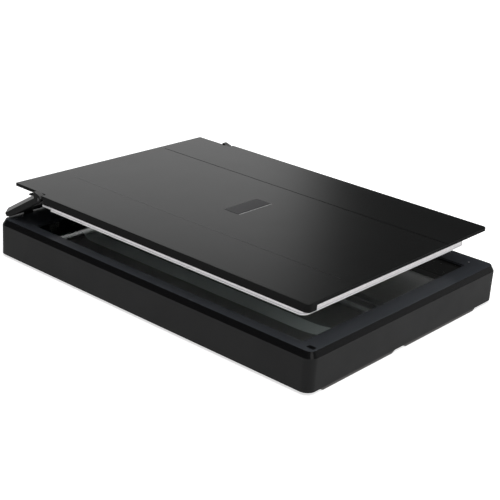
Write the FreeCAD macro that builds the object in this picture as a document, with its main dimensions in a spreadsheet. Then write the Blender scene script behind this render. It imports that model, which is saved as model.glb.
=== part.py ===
import FreeCAD, Part
import math
import os

import Sketcher

# A4 flatbed scanner with a double-hinged lid, shown with the lid raised level above the glass.
# Millimetres.  X runs across the base, Y from the front to the hinge, Z up.
# The origin is on the table under the middle of the base.

doc = FreeCAD.newDocument("FlatbedScanner")
os.makedirs("parts", exist_ok=True)

DIMENSIONS = {
    # base shell
    "base_width": 258.0,
    "base_length": 351.0,
    "wall_bottom": 2.5,
    "chamfer_foot": 29.6,
    "base_top": 34.3,
    "chamfer_run": 2.7,
    "base_corner": 8.0,
    "wall": 2.2,
    "deck_skin": 2.2,
    # window and glass
    "window_left": -116.8,
    "window_right": 104.2,
    "window_front": -157.9,
    "window_rear": 140.5,
    "rim_step": 0.6,
    "rim_ledge": 1.5,
    "glass_top": 33.1,
    "glass_thickness": 2.8,
    "glass_lap": 3.4,
    "glass_front": -163.0,
    "glass_rear": 145.5,
    "glass_play": 0.15,
    # tray under the base
    "tray_play": 0.15,
    "floor_top": 4.9,
    "rail_bottom": 0.4,
    "rail_depth": 6.6,
    "rail_slant": 4.0,
    "screw_left": -123.3,
    "screw_right": 122.6,
    "screw_reach": 158.0,
    "boss_radius": 3.1,
    # hinge
    "hinge_y": 172.0,
    "hinge_z": 38.0,
    "raise_angle": 32.0,
    "frame_top": 5.0,
    "frame_bottom": -3.3,
    "web_top": -0.4,
    "web_front": -28.0,
    "spine_front": -11.4,
    "arm_outer": 122.0,
    "arm_inner": 117.0,
    "arm_bevel": 3.3,
    "pivot_reach": -47.78,
    "pivot_drop": -0.85,
    "pivot_pin_radius": 1.5,
    "axle_radius": 1.5,
    "axle_play": 0.05,
    "slot_play": 0.25,
    "axle_slack": 2.0,
    "post_x": 100.0,
    "post_half": 4.0,
    # lid
    "lid_half": 122.0,
    "lid_front": -163.8,
    "lid_rear": 166.9,
    "lid_top": 67.0,
    "lid_plate": 2.8,
    "skirt_foot": 60.05,
    "skirt_wall": 2.2,
    "lid_corner": 4.0,
    "notch_front": 126.4,
    "rear_half": 116.6,
    "cheek_inner": 114.2,
    "cheek_rear": 136.5,
    "groove_x": 60.1,
    "groove_width": 0.9,
    "groove_depth": 0.6,
    # pad under the lid
    "mat_left": -115.4,
    "mat_right": 102.9,
    "mat_front": -155.2,
    "mat_rear": 137.0,
    "mat_foot": 53.0,
    "mat_top": 54.0,
    "mat_corner": 6.0,
    "card_foot": 63.4,
    # carriage and drive
    "home_y": -161.5,
    "carriage_left": -113.0,
    "carriage_right": 100.5,
    "carriage_half": 8.5,
    "frame_foot": 14.5,
    "frame_floor": 16.0,
    "frame_head": 24.0,
    "rod_x": 4.0,
    "rod_z": 10.0,
    "rod_radius": 3.0,
    "rod_front": -172.6,
    "rod_rear": 152.6,
    "belt_x": 22.0,
    "belt_pitch": 5.0,
    "belt_half": 0.6,
    "belt_foot": 7.2,
    "belt_head": 11.2,
    "idler_y": -166.6,
    "drive_y": 159.5,
    "motor_radius": 11.0,
}


class Dim:
    """A length: the spreadsheet expression that drives it, together with its present value."""

    def __init__(self, text, value):
        self.text = text
        self.value = value

    def _join(self, sign, left, right, value):
        return Dim(f"({left.text} {sign} {right.text})", value)

    def __add__(self, other):
        other = dim(other)
        return self._join("+", self, other, self.value + other.value)

    def __sub__(self, other):
        other = dim(other)
        return self._join("-", self, other, self.value - other.value)

    def __mul__(self, other):
        other = dim(other)
        return self._join("*", self, other, self.value * other.value)

    def __truediv__(self, other):
        other = dim(other)
        return self._join("/", self, other, self.value / other.value)

    def __radd__(self, other):
        return dim(other) + self

    def __rsub__(self, other):
        return dim(other) - self

    def __rmul__(self, other):
        return dim(other) * self

    def __neg__(self):
        return dim(0) - self


def dim(value):
    return value if isinstance(value, Dim) else Dim(f"{float(value):.6f}", float(value))


sheet = doc.addObject("Spreadsheet::Sheet", "dims")
for row, (alias, number) in enumerate(DIMENSIONS.items(), start=1):
    sheet.set(f"A{row}", alias)
    sheet.set(f"B{row}", str(number))
    sheet.setAlias(f"B{row}", alias)
doc.recompute()


class Sheet:
    """The driving dimensions by name."""


d = Sheet()
for alias, number in DIMENSIONS.items():
    setattr(d, alias, Dim(f"dims.{alias}", number))

NODES = []
X_TURN = FreeCAD.Rotation(FreeCAD.Vector(0, 1, 0), 90)
Y_TURN = FreeCAD.Rotation(FreeCAD.Vector(1, 0, 0), -90)
NO_TURN = FreeCAD.Rotation()


def bind(obj, prop, value):
    obj.setExpression(prop, dim(value).text)


def place(obj, x, y, z, turn=NO_TURN):
    start = FreeCAD.Vector(dim(x).value, dim(y).value, dim(z).value)
    obj.Placement = FreeCAD.Placement(start, turn)
    for letter, value in (("x", x), ("y", y), ("z", z)):
        bind(obj, f"Placement.Base.{letter}", value)
    return obj


def node(obj, label):
    """Make obj one of the separate pieces, under its own name."""
    obj.Label = label
    NODES.append(obj)
    return obj


# ---- solids from primitives


def box(x0, x1, y0, y1, z0, z1):
    obj = doc.addObject("Part::Box", "Block")
    for prop, low, high in (("Length", x0, x1), ("Width", y0, y1), ("Height", z0, z1)):
        bind(obj, prop, dim(high) - low)
    return place(obj, x0, y0, z0)


def cylinder(axis, x, y, z, radius, length):
    """A cylinder that starts at x, y, z and runs along the named axis."""
    obj = doc.addObject("Part::Cylinder", "Round")
    bind(obj, "Radius", radius)
    bind(obj, "Height", length)
    turn = {"X": X_TURN, "Y": Y_TURN, "Z": NO_TURN}[axis]
    return place(obj, x, y, z, turn)


def cut(base, *tools):
    obj = doc.addObject("Part::Cut", "Cut")
    obj.Base = base
    obj.Tool = tools[0] if len(tools) == 1 else fuse(*tools)
    return obj


def fuse(*shapes):
    obj = doc.addObject("Part::MultiFuse", "Fuse")
    obj.Shapes = list(shapes)
    return obj


def group(*shapes):
    obj = doc.addObject("Part::Compound", "Group")
    obj.Links = list(shapes)
    return obj


def rounded(obj, radius, direction, near=None):
    """Round the straight edges of obj that run along direction; near picks some by their middle."""
    doc.recompute()
    way = FreeCAD.Vector(*direction)
    picked = []
    for index, edge in enumerate(obj.Shape.Edges, start=1):
        if edge.Curve.TypeId != "Part::GeomLine":
            continue
        if abs(edge.tangentAt(edge.FirstParameter).dot(way)) < 0.999:
            continue
        if near is None or near(edge.CenterOfMass):
            picked.append((index, radius, radius))
    fillet = doc.addObject("Part::Fillet", "Rounding")
    fillet.Base = obj
    fillet.Edges = picked
    return fillet


# ---- bodies from sketches


def new_body(label):
    return node(doc.addObject("PartDesign::Body", "Body"), label)


def plane_of(body, role):
    return next(f for f in body.Origin.OriginFeatures if f.Role == role)


def pin(sketch, geo, point, x, y):
    for kind, value in (("DistanceX", x), ("DistanceY", y)):
        value = dim(value)
        index = sketch.addConstraint(
            Sketcher.Constraint(kind, -1, 1, geo, point, value.value)
        )
        sketch.setExpression(f"Constraints[{index}]", value.text)


def at(x, y):
    return FreeCAD.Vector(dim(x).value, dim(y).value, 0)


def draw_polygon(sketch, points):
    first = sketch.GeometryCount
    count = len(points)
    for i, start in enumerate(points):
        end = points[(i + 1) % count]
        sketch.addGeometry(Part.LineSegment(at(*start), at(*end)))
    for i, start in enumerate(points):
        after = first + (i + 1) % count
        sketch.addConstraint(Sketcher.Constraint("Coincident", first + i, 2, after, 1))
        pin(sketch, first + i, 1, *start)


def draw_rounded(sketch, x0, x1, y0, y1, radius):
    """A rectangle with round corners: four arcs, and four lines that join them."""
    x0, x1, y0, y1, radius = (dim(v) for v in (x0, x1, y0, y1, radius))
    corners = [
        (x1, y0, -1, 1, 270),
        (x1, y1, -1, -1, 0),
        (x0, y1, 1, -1, 90),
        (x0, y0, 1, 1, 180),
    ]
    first = sketch.GeometryCount
    for x, y, sx, sy, degrees in corners:
        middle = at(x + radius * sx, y + radius * sy)
        circle = Part.Circle(middle, FreeCAD.Vector(0, 0, 1), radius.value)
        start = math.radians(degrees)
        sketch.addGeometry(Part.ArcOfCircle(circle, start, start + math.pi / 2))
    for i, (x, y, sx, sy, degrees) in enumerate(corners):
        upright = (x + radius * sx, y)
        level = (x, y + radius * sy)
        start, end = (upright, level) if sx * sy < 0 else (level, upright)
        pin(sketch, first + i, 1, *start)
        pin(sketch, first + i, 2, *end)
        middle_x = sketch.addConstraint(
            Sketcher.Constraint(
                "DistanceX", -1, 1, first + i, 3, (x + radius * sx).value
            )
        )
        sketch.setExpression(f"Constraints[{middle_x}]", (x + radius * sx).text)
    for i in range(4):
        arc, after = first + i, first + (i + 1) % 4
        start = sketch.getPoint(arc, 2)
        end = sketch.getPoint(after, 1)
        line = sketch.addGeometry(Part.LineSegment(start, end))
        sketch.addConstraint(Sketcher.Constraint("Coincident", line, 1, arc, 2))
        sketch.addConstraint(Sketcher.Constraint("Coincident", line, 2, after, 1))


def draw_circle(sketch, x, y, radius):
    radius = dim(radius)
    circle = Part.Circle(at(x, y), FreeCAD.Vector(0, 0, 1), radius.value)
    geo = sketch.addGeometry(circle)
    pin(sketch, geo, 3, x, y)
    index = sketch.addConstraint(Sketcher.Constraint("Radius", geo, radius.value))
    sketch.setExpression(f"Constraints[{index}]", radius.text)


def rect(x0, x1, y0, y1):
    return ("polygon", [(x0, y0), (x1, y0), (x1, y1), (x0, y1)])


def draw(sketch, outline):
    kind, *values = outline
    if kind == "polygon":
        draw_polygon(sketch, *values)
    elif kind == "rounded":
        draw_rounded(sketch, *values)
    else:
        draw_circle(sketch, *values)


def profile(body, role, offset, outlines):
    """A sketch on one of the body's own planes, moved by offset along that plane's normal."""
    sketch = body.newObject("Sketcher::SketchObject", "Profile")
    sketch.AttachmentSupport = [(plane_of(body, role), "")]
    sketch.MapMode = "FlatFace"
    bind(sketch, "AttachmentOffset.Base.z", offset)
    for outline in outlines:
        draw(sketch, outline)
    sketch.Visibility = False
    return sketch


def prism(body, low, high, *outlines, role="XY_Plane", remove=False, inward=None):
    """Add or remove the outlines between two levels of the named plane's axis.

    inward leans the sides: how far they come in over the whole height.
    """
    low, high = dim(low), dim(high)
    doc.recompute()
    before = body.Shape.Volume if body.Tip else 0.0
    flipped = role == "XZ_Plane"
    sketch = profile(body, role, -low if flipped else low, outlines)
    feature = body.newObject("PartDesign::Pocket" if remove else "PartDesign::Pad", "Step")
    feature.Profile = sketch
    bind(feature, "Length", high - low)
    feature.Reversed = remove != flipped
    if inward is not None:
        lean = math.degrees(math.atan2(inward.value, high.value - low.value))
        feature.TaperAngle = -lean
        feature.setExpression("TaperAngle", f"-atan({inward.text} / {(high - low).text})")
    doc.recompute()
    change = body.Shape.Volume - before
    if (change < 0) != remove or abs(change) < 1e-3:
        raise RuntimeError(f"{body.Label}: a step changed the volume by {change:.3f}")
    return feature


half_width = d.base_width / 2
half_length = d.base_length / 2

# ---- top cover: walls, leaning rim and the frame around the window

cover = new_body("top_cover")


def plan(inset, radius):
    """The base outline brought in by inset."""
    return (
        "rounded",
        -half_width + inset,
        half_width - inset,
        -half_length + inset,
        half_length - inset,
        radius,
    )


inner_corner = d.base_corner - d.wall
prism(cover, d.wall_bottom, d.chamfer_foot, plan(dim(0), d.base_corner))
prism(cover, d.chamfer_foot, d.base_top, plan(dim(0), d.base_corner), inward=d.chamfer_run)
# the rear edge stands square behind the hinge
REAR_SQUARE = 118.0
prism(
    cover,
    d.chamfer_foot,
    d.base_top,
    rect(-REAR_SQUARE, REAR_SQUARE, half_length - d.chamfer_run - 0.5, half_length),
)
prism(cover, d.wall_bottom, d.chamfer_foot, plan(d.wall, inner_corner), remove=True)
prism(
    cover,
    d.chamfer_foot,
    d.base_top - d.deck_skin,
    plan(d.wall * 2, inner_corner - d.wall),
    remove=True,
)

opening = {
    "left": d.window_left + d.rim_ledge,
    "right": d.window_right - d.rim_ledge,
    "front": d.window_front + d.rim_ledge,
    "rear": d.window_rear - d.rim_ledge,
}
glass = {
    "left": opening["left"] - d.glass_lap,
    "right": opening["right"] + d.glass_lap,
    "front": d.glass_front,
    "rear": d.glass_rear,
}


def span(edges, grow=0.0):
    return (
        edges["left"] - grow,
        edges["right"] + grow,
        edges["front"] - grow,
        edges["rear"] + grow,
    )


rim = {
    "left": d.window_left,
    "right": d.window_right,
    "front": d.window_front,
    "rear": d.window_rear,
}
prism(cover, d.base_top - d.rim_step, d.base_top, ("rounded", *span(rim), 3.0), remove=True)
prism(
    cover,
    d.base_top - d.deck_skin,
    d.base_top - d.rim_step,
    ("rounded", *span(opening), 1.8),
    remove=True,
)
prism(
    cover,
    d.base_top - d.deck_skin,
    d.glass_top,
    rect(*span(glass, d.glass_play)),
    remove=True,
)

# screw bosses along both long walls
boss_places = []
for boss_x in (d.screw_left, d.screw_right):
    for share in (-1, 0, 1):
        boss_places.append((boss_x, d.screw_reach * share))
for boss_x, boss_y in boss_places:
    prism(cover, d.floor_top, d.base_top - d.deck_skin, ("circle", boss_x, boss_y, d.boss_radius))
SCREW_RADIUS = 1.2
SCREW_PLAY = 0.03
SCREW_LENGTH = 9.0
prism(
    cover,
    d.floor_top,
    d.floor_top + SCREW_LENGTH,
    *[("circle", x, y, SCREW_RADIUS + SCREW_PLAY) for x, y in boss_places],
    remove=True,
)

# indicator opening, bezel mark, hinge post holes and the socket opening in the rear wall
LENS = {"left": -120.8, "right": -116.8, "front": -170.3, "rear": -164.1}
lens_box = tuple(dim(LENS[side]) for side in ("left", "right", "front", "rear"))
LENS_PLAY = 0.1
lens_hole = (
    lens_box[0] - LENS_PLAY,
    lens_box[1] + LENS_PLAY,
    lens_box[2] - LENS_PLAY,
    lens_box[3] + LENS_PLAY,
)
prism(cover, d.base_top - d.deck_skin, d.base_top, rect(*lens_hole), remove=True)
MARK_X, MARK_Y, MARK_RADIUS, MARK_DEPTH = 113.9, -155.5, 0.7, 0.8
prism(
    cover,
    d.base_top - MARK_DEPTH,
    d.base_top,
    ("circle", MARK_X, MARK_Y, MARK_RADIUS + 0.05),
    remove=True,
)
TENON_HALF, TENON_FRONT, TENON_REAR, TENON_PLAY = 2.5, 169.2, 170.9, 0.1
tenon_holes = [
    rect(
        side * d.post_x.value - TENON_HALF - TENON_PLAY,
        side * d.post_x.value + TENON_HALF + TENON_PLAY,
        TENON_FRONT - TENON_PLAY,
        TENON_REAR + TENON_PLAY,
    )
    for side in (-1, 1)
]
prism(cover, d.base_top - d.deck_skin, d.base_top, *tenon_holes, remove=True)
PORT = {"x0": -86.0, "x1": -74.0, "z0": 10.1, "z1": 21.0, "front": 159.0, "play": 0.15}
prism(
    cover,
    half_length - d.wall,
    half_length,
    rect(
        PORT["x0"] - PORT["play"],
        PORT["x1"] + PORT["play"],
        PORT["z0"] - PORT["play"],
        PORT["z1"] + PORT["play"],
    ),
    role="XZ_Plane",
    remove=True,
)

# ---- bottom tray: floor, foot rails under the front and rear walls, and standoffs

tray = new_body("bottom_tray")
tray_inset = d.wall + d.tray_play
prism(tray, d.wall_bottom, d.floor_top, plan(tray_inset, inner_corner - d.tray_play))
RAILS = ((-115.0, -19.5), (-8.9, 100.0))
rail_outlines = []
for rail_start, rail_end in RAILS:
    rail_outlines.append(
        (
            "polygon",
            [
                (rail_start, d.wall_bottom),
                (dim(rail_start) + d.rail_slant, d.rail_bottom),
                (dim(rail_end) - d.rail_slant, d.rail_bottom),
                (rail_end, d.wall_bottom),
            ],
        )
    )
rail_front = -half_length + 0.2
prism(tray, rail_front, rail_front + d.rail_depth, *rail_outlines, role="XZ_Plane")
rail_rear = half_length - 0.2
prism(tray, rail_rear - d.rail_depth, rail_rear, *rail_outlines, role="XZ_Plane")

FOOT_HALF_X, FOOT_HALF_Y, FOOT_TOP, FOOT_PLAY = 7.0, 2.2, 1.2, 0.1
foot_y = half_length - 0.2 - d.rail_depth / 2
feet_places = [(x, y) for x in (-98.0, 84.0) for y in (-foot_y, foot_y)]
prism(
    tray,
    d.rail_bottom,
    FOOT_TOP,
    *[
        rect(
            x - FOOT_HALF_X - FOOT_PLAY,
            x + FOOT_HALF_X + FOOT_PLAY,
            y - FOOT_HALF_Y - FOOT_PLAY,
            y + FOOT_HALF_Y + FOOT_PLAY,
        )
        for x, y in feet_places
    ],
    remove=True,
)
HEAD_RADIUS, HEAD_HEIGHT, HEAD_PLAY = 2.2, 1.4, 0.1
prism(
    tray,
    d.wall_bottom,
    d.wall_bottom + HEAD_HEIGHT,
    *[("circle", x, y, HEAD_RADIUS + HEAD_PLAY) for x, y in boss_places],
    remove=True,
)
prism(
    tray,
    d.wall_bottom + HEAD_HEIGHT,
    d.floor_top,
    *[("circle", x, y, SCREW_RADIUS + SCREW_PLAY) for x, y in boss_places],
    remove=True,
)
BOARD = {"left": -112.0, "right": -30.0, "front": 150.0, "rear": 170.0, "z0": 8.5, "z1": 10.1}
board_holes = [(x, y) for x in (-108.0, -34.0) for y in (153.5, 166.5)]
prism(tray, d.floor_top, BOARD["z0"], *[("circle", x, y, 2.8) for x, y in board_holes])
prism(
    tray,
    d.floor_top,
    BOARD["z0"],
    *[("circle", x, y, SCREW_RADIUS + SCREW_PLAY) for x, y in board_holes],
    remove=True,
)

# ---- loose pieces of the base


def rounded_block(x0, x1, y0, y1, z0, z1, radius):
    return rounded(box(x0, x1, y0, y1, z0, z1), radius, (0, 0, 1))


feet = [
    rounded_block(
        x - FOOT_HALF_X,
        x + FOOT_HALF_X,
        y - FOOT_HALF_Y,
        y + FOOT_HALF_Y,
        0,
        FOOT_TOP,
        1.6,
    )
    for x, y in feet_places
]
node(group(*feet), "rubber_feet")


def screw_up(x, y, head_z, head_radius, head_height, shank_length):
    """A screw driven upward, with a cross slot in the underside of its head."""
    head = cylinder("Z", x, y, head_z, head_radius, head_height)
    slot = box(
        x - head_radius,
        x + head_radius,
        y - 0.3,
        y + 0.3,
        head_z,
        head_z + 0.5,
    )
    shank = cylinder("Z", x, y, head_z + head_height, SCREW_RADIUS, shank_length)
    return fuse(cut(head, slot), shank)


tray_screw_shapes = [
    screw_up(x, y, d.wall_bottom, dim(HEAD_RADIUS), HEAD_HEIGHT, 8.0) for x, y in boss_places
]
node(group(*tray_screw_shapes), "tray_screws")

glass_foot = d.glass_top - d.glass_thickness
pane = new_body("scan_glass")
prism(pane, glass_foot, d.glass_top, rect(*span(glass)))

STRIP_THICKNESS = 0.2
node(
    box(-108.0, 96.0, -162.8, -158.9, glass_foot - STRIP_THICKNESS, glass_foot),
    "calibration_strip",
)

lens = rounded_block(*lens_box, d.base_top - d.deck_skin, d.base_top, 0.5)
node(lens, "indicator_lens")
LED = {"half_x": 1.8, "half_y": 3.7, "leg": 3.0, "leg_width": 0.8, "bulb_height": 1.8}
LED_X = (LENS["left"] + LENS["right"]) / 2
LED_Y = (LENS["front"] + LENS["rear"]) / 2
led_foot = d.base_top - d.deck_skin - 0.3
led_seat = led_foot - LED["leg"]
board_top = led_foot - LED["bulb_height"]
board_front, board_rear = LED_Y - LED["half_y"], LED_Y + LED["half_y"]
led_board = box(
    LED_X - LED["half_x"], LED_X + LED["half_x"], board_front, board_rear, led_seat, board_top
)
led_bulb = box(LED_X - 1.2, LED_X + 1.2, LED_Y - 1.4, LED_Y + 1.4, board_top, led_foot)
led_legs = [
    box(
        LED_X - LED["half_x"],
        LED_X + LED["half_x"],
        y,
        y + LED["leg_width"],
        led_seat,
        d.base_top - d.deck_skin,
    )
    for y in (board_front, board_rear - LED["leg_width"])
]
node(fuse(led_board, led_bulb, *led_legs), "status_led")
node(
    cylinder("Z", MARK_X, MARK_Y, d.base_top - MARK_DEPTH, MARK_RADIUS, MARK_DEPTH),
    "bezel_mark",
)

# hinge posts: a block on the deck with a round head around the axle, and a tenon through the deck
POST_REAR, POST_HEAD = 172.6, 3.0
posts = []
for side in (-1, 1):
    middle = side * d.post_x.value
    low, high = dim(middle) - d.post_half, dim(middle) + d.post_half
    block = box(low, high, d.hinge_y - POST_HEAD, POST_REAR, d.base_top, d.hinge_z)
    head = cylinder("X", low, d.hinge_y, d.hinge_z, POST_HEAD, d.post_half * 2)
    tenon = box(
        middle - TENON_HALF,
        middle + TENON_HALF,
        TENON_FRONT,
        TENON_REAR,
        d.base_top - d.deck_skin - 3.0,
        d.base_top,
    )
    bore = cylinder(
        "X", low - 1, d.hinge_y, d.hinge_z, d.axle_radius + d.axle_play, d.post_half * 2 + 2
    )
    posts.append(cut(fuse(block, head, tenon), bore))
node(group(*posts), "hinge_posts")

# ---- rod, its clips, the motor on its bracket, pulleys and belt

clip_shapes = []
for clip_start in (-173.0, 149.6):
    shoe = box(d.rod_x - 5.5, d.rod_x + 5.5, clip_start, clip_start + 3.2, d.floor_top, 14.4)
    hole = cylinder("Y", d.rod_x, clip_start - 1, d.rod_z, d.rod_radius + 0.02, 6.0)
    clip_shapes.append(cut(shoe, hole))
node(group(*clip_shapes), "rod_clips")
node(
    cylinder("Y", d.rod_x, d.rod_front, d.rod_z, d.rod_radius, d.rod_rear - d.rod_front),
    "guide_rod",
)

SHAFT_RADIUS = 1.0
SHAFT_PLAY = 0.04
MOTOR_FOOT, MOTOR_HEIGHT = 14.4, 12.0
PLATE_TOP, PLATE_THICKNESS = MOTOR_FOOT, 1.2
motor_can = cylinder("Z", d.belt_x, d.drive_y, MOTOR_FOOT, d.motor_radius, MOTOR_HEIGHT)
motor_nose = cylinder("Z", d.belt_x, d.drive_y, PLATE_TOP - PLATE_THICKNESS, 3.0, 1.4)
motor_shaft = cylinder("Z", d.belt_x, d.drive_y, 5.6, SHAFT_RADIUS, 8.0)
motor_ears = box(
    d.belt_x - 15.5, d.belt_x + 15.5, d.drive_y - 3.2, d.drive_y + 3.2, PLATE_TOP, PLATE_TOP + 1.0
)
ear_holes = [
    cylinder("Z", d.belt_x + side * 13.3, d.drive_y, PLATE_TOP - 1, SCREW_RADIUS + 0.05, 3.0)
    for side in (-1, 1)
]
node(fuse(motor_can, motor_nose, motor_shaft, cut(motor_ears, *ear_holes)), "motor")

BRACKET_FRONT, BRACKET_REAR = 153.2, 170.0
bracket_plate = box(
    d.belt_x - 19, d.belt_x + 19, BRACKET_FRONT, 171.9, PLATE_TOP - PLATE_THICKNESS, PLATE_TOP
)
legs = []
for side in (-1, 1):
    leg_out = d.belt_x + side * 19.0
    leg_in = leg_out - side * PLATE_THICKNESS
    foot_end = leg_out + side * 6.0
    low, high = (leg_out, leg_in) if side < 0 else (leg_in, leg_out)
    legs.append(box(low, high, BRACKET_FRONT, BRACKET_REAR, d.floor_top, PLATE_TOP))
    low, high = (foot_end, leg_out) if side < 0 else (leg_out, foot_end)
    leg_foot_top = d.floor_top + PLATE_THICKNESS
    legs.append(box(low, high, BRACKET_FRONT, BRACKET_REAR, d.floor_top, leg_foot_top))
nose_hole = cylinder("Z", d.belt_x, d.drive_y, PLATE_TOP - 2, 3.05, 3.0)
plate_holes = [
    cylinder("Z", d.belt_x + side * 13.3, d.drive_y, PLATE_TOP - 2, SCREW_RADIUS + 0.03, 3.0)
    for side in (-1, 1)
]
node(cut(fuse(bracket_plate, *legs), nose_hole, *plate_holes), "motor_bracket")


def screw_down(x, y, seat_z, shank_length):
    head = cylinder("Z", x, y, seat_z, HEAD_RADIUS, HEAD_HEIGHT)
    slot = box(
        dim(x) - HEAD_RADIUS,
        dim(x) + HEAD_RADIUS,
        dim(y) - 0.3,
        dim(y) + 0.3,
        seat_z + HEAD_HEIGHT - 0.5,
        seat_z + HEAD_HEIGHT,
    )
    shank = cylinder("Z", x, y, seat_z - shank_length, SCREW_RADIUS, shank_length)
    return fuse(cut(head, slot), shank)


node(
    group(
        *[screw_down(d.belt_x + side * 13.3, d.drive_y, PLATE_TOP + 1.0, 3.0) for side in (-1, 1)]
    ),
    "bracket_screws",
)

FLANGE_RADIUS, FLANGE_THICKNESS, DRUM_CLEARANCE = 6.4, 0.6, 0.06
drum_radius = d.belt_pitch - d.belt_half - DRUM_CLEARANCE


def pulley(y, grooves):
    """A belt pulley with a flange at each end and shallow tooth grooves around its drum."""
    foot = d.belt_foot - FLANGE_THICKNESS - 0.1
    head = d.belt_head + 0.1
    drum = cylinder("Z", d.belt_x, y, foot, drum_radius, head - foot)
    flanges = [
        cylinder("Z", d.belt_x, y, level, FLANGE_RADIUS, FLANGE_THICKNESS)
        for level in (foot, head)
    ]
    tools = [cylinder("Z", d.belt_x, y, foot - 1, SHAFT_RADIUS + SHAFT_PLAY, 8.0)]
    for step in range(grooves):
        turn = math.radians(360.0 / grooves * step)
        reach = drum_radius.value + 0.15
        x_place = d.belt_x + reach * math.cos(turn)
        y_place = dim(y) + reach * math.sin(turn)
        band_foot = foot + FLANGE_THICKNESS
        tools.append(cylinder("Z", x_place, y_place, band_foot, 0.42, head - band_foot))
    return cut(fuse(drum, *flanges), *tools)


node(pulley(d.drive_y, 16), "drive_pulley")
node(pulley(d.idler_y, 16), "idler_pulley")

idler_block = box(d.belt_x - 8, d.belt_x + 8, -172.9, -161.4, d.floor_top, d.floor_top + 1.2)
idler_pin = cylinder("Z", d.belt_x, d.idler_y, d.floor_top + 1.2, SHAFT_RADIUS, 7.2)
idler_spring = cylinder("Y", d.belt_x - 6.6, -161.4, d.floor_top + 0.75, 0.55, 9.0)
idler_hook = box(d.belt_x - 8, d.belt_x - 5, -152.4, -151.4, d.floor_top, d.floor_top + 1.4)
node(fuse(idler_block, idler_pin, idler_spring, idler_hook), "idler_bracket")

belt = new_body("drive_belt")


def belt_loop(radius):
    return (
        "rounded",
        d.belt_x - radius,
        d.belt_x + radius,
        d.idler_y - radius,
        d.drive_y + radius,
        radius - 0.001,
    )


prism(belt, d.belt_foot, d.belt_head, belt_loop(d.belt_pitch + d.belt_half))
prism(
    belt, d.belt_foot, d.belt_head, belt_loop(d.belt_pitch - d.belt_half), remove=True
)

# ---- electronics

board = box(
    BOARD["left"], BOARD["right"], BOARD["front"], BOARD["rear"], BOARD["z0"], BOARD["z1"]
)
board_bores = [
    cylinder("Z", x, y, BOARD["z0"] - 1, SCREW_RADIUS + 0.05, 4.0) for x, y in board_holes
]
node(cut(board, *board_bores), "main_board")
node(
    group(*[screw_down(x, y, BOARD["z1"], 4.0) for x, y in board_holes]),
    "board_screws",
)

PARTS_ON_BOARD = (
    (-70.0, -56.0, 155.0, 167.0, 1.6),
    (-50.0, -43.0, 160.0, 166.0, 1.2),
    (-98.0, -92.0, 153.0, 156.0, 2.4),
    (-66.0, -62.0, 151.6, 153.0, 1.0),
    (-58.5, -38.5, 150.4, 154.4, 2.6),
    (-103.0, -99.5, 160.0, 166.0, 2.2),
)
chips = [
    box(x0, x1, y0, y1, BOARD["z1"], BOARD["z1"] + height)
    for x0, x1, y0, y1, height in PARTS_ON_BOARD
]
cans = [cylinder("Z", x, 156.5, BOARD["z1"], 2.4, 6.0) for x in (-89.0, -76.0)]
node(group(*chips, *cans), "board_components")

port_shell = box(PORT["x0"], PORT["x1"], PORT["front"], half_length, PORT["z0"], PORT["z1"])
port_mouth = box(
    PORT["x0"] + 1.2,
    PORT["x1"] - 1.2,
    half_length - 9.5,
    half_length,
    PORT["z0"] + 1.2,
    PORT["z1"] - 1.2,
)
port_tongue = box(-82.6, -77.4, half_length - 9.5, half_length - 1.0, 14.4, 17.2)
node(fuse(cut(port_shell, port_mouth), port_tongue), "usb_port")

ribbon = new_body("ribbon_cable")
RIBBON_PATH = ((150.2, 11.6), (146.0, 11.6), (139.0, 5.6), (-118.0, 5.6), (-152.6, 14.1))
RIBBON_THICKNESS = 0.3
ribbon_outline = list(RIBBON_PATH)
ribbon_outline += [(y, z + RIBBON_THICKNESS) for y, z in reversed(RIBBON_PATH)]
prism(ribbon, -57.5, -39.5, ("polygon", ribbon_outline), role="YZ_Plane")

# ---- carriage at its home place under the front bezel

low_y = d.home_y - d.carriage_half
high_y = d.home_y + d.carriage_half
carriage = new_body("carriage_frame")
prism(
    carriage,
    d.frame_foot,
    d.frame_head,
    rect(d.carriage_left, d.carriage_right, low_y, high_y),
)
prism(
    carriage,
    d.frame_floor,
    d.frame_head,
    rect(d.carriage_left + 2, d.carriage_right - 2, low_y + 1.4, high_y - 1.4),
    remove=True,
)
MODULE = {"left": -110.5, "right": 98.0, "foot": 19.5, "head": 28.9, "half": 6.6}
module = new_body("cis_module")
prism(
    module,
    MODULE["foot"],
    MODULE["head"],
    rect(MODULE["left"], MODULE["right"], d.home_y - MODULE["half"], d.home_y + MODULE["half"]),
)
WINDOW_HALF, WINDOW_DEPTH = 3.4, 1.4
prism(
    module,
    MODULE["head"] - WINDOW_DEPTH,
    MODULE["head"],
    rect(
        MODULE["left"] + 4,
        MODULE["right"] - 4,
        d.home_y - WINDOW_HALF - 0.1,
        d.home_y + WINDOW_HALF + 0.1,
    ),
    remove=True,
)
cis_window = box(
    MODULE["left"] + 4.1,
    MODULE["right"] - 4.1,
    d.home_y - WINDOW_HALF,
    d.home_y + WINDOW_HALF,
    MODULE["head"] - WINDOW_DEPTH,
    MODULE["head"] - 0.1,
)
node(cis_window, "cis_window")
pad_places = [
    (x, y) for x in (MODULE["left"] + 1.9, MODULE["right"] - 1.9) for y in (-4.4, 4.4)
]
pads = [
    cylinder("Z", x, d.home_y + y, MODULE["head"], 1.4, glass_foot - 0.45 - MODULE["head"])
    for x, y in pad_places
]
node(group(*pads), "glide_pads")
SPRING_PLACES = (-90.0, 78.0)
springs = [
    cut(
        cylinder("Z", x, d.home_y, d.frame_floor, 2.6, MODULE["foot"] - d.frame_floor),
        cylinder("Z", x, d.home_y, d.frame_floor - 1, 2.0, 6.0),
    )
    for x in SPRING_PLACES
]
node(group(*springs), "module_springs")
bush = box(d.rod_x - 5, d.rod_x + 5, low_y + 0.3, high_y, 5.8, d.frame_foot)
bush_bore = cylinder("Y", d.rod_x, low_y - 1, d.rod_z, d.rod_radius + 0.06, 20.0)
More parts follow.
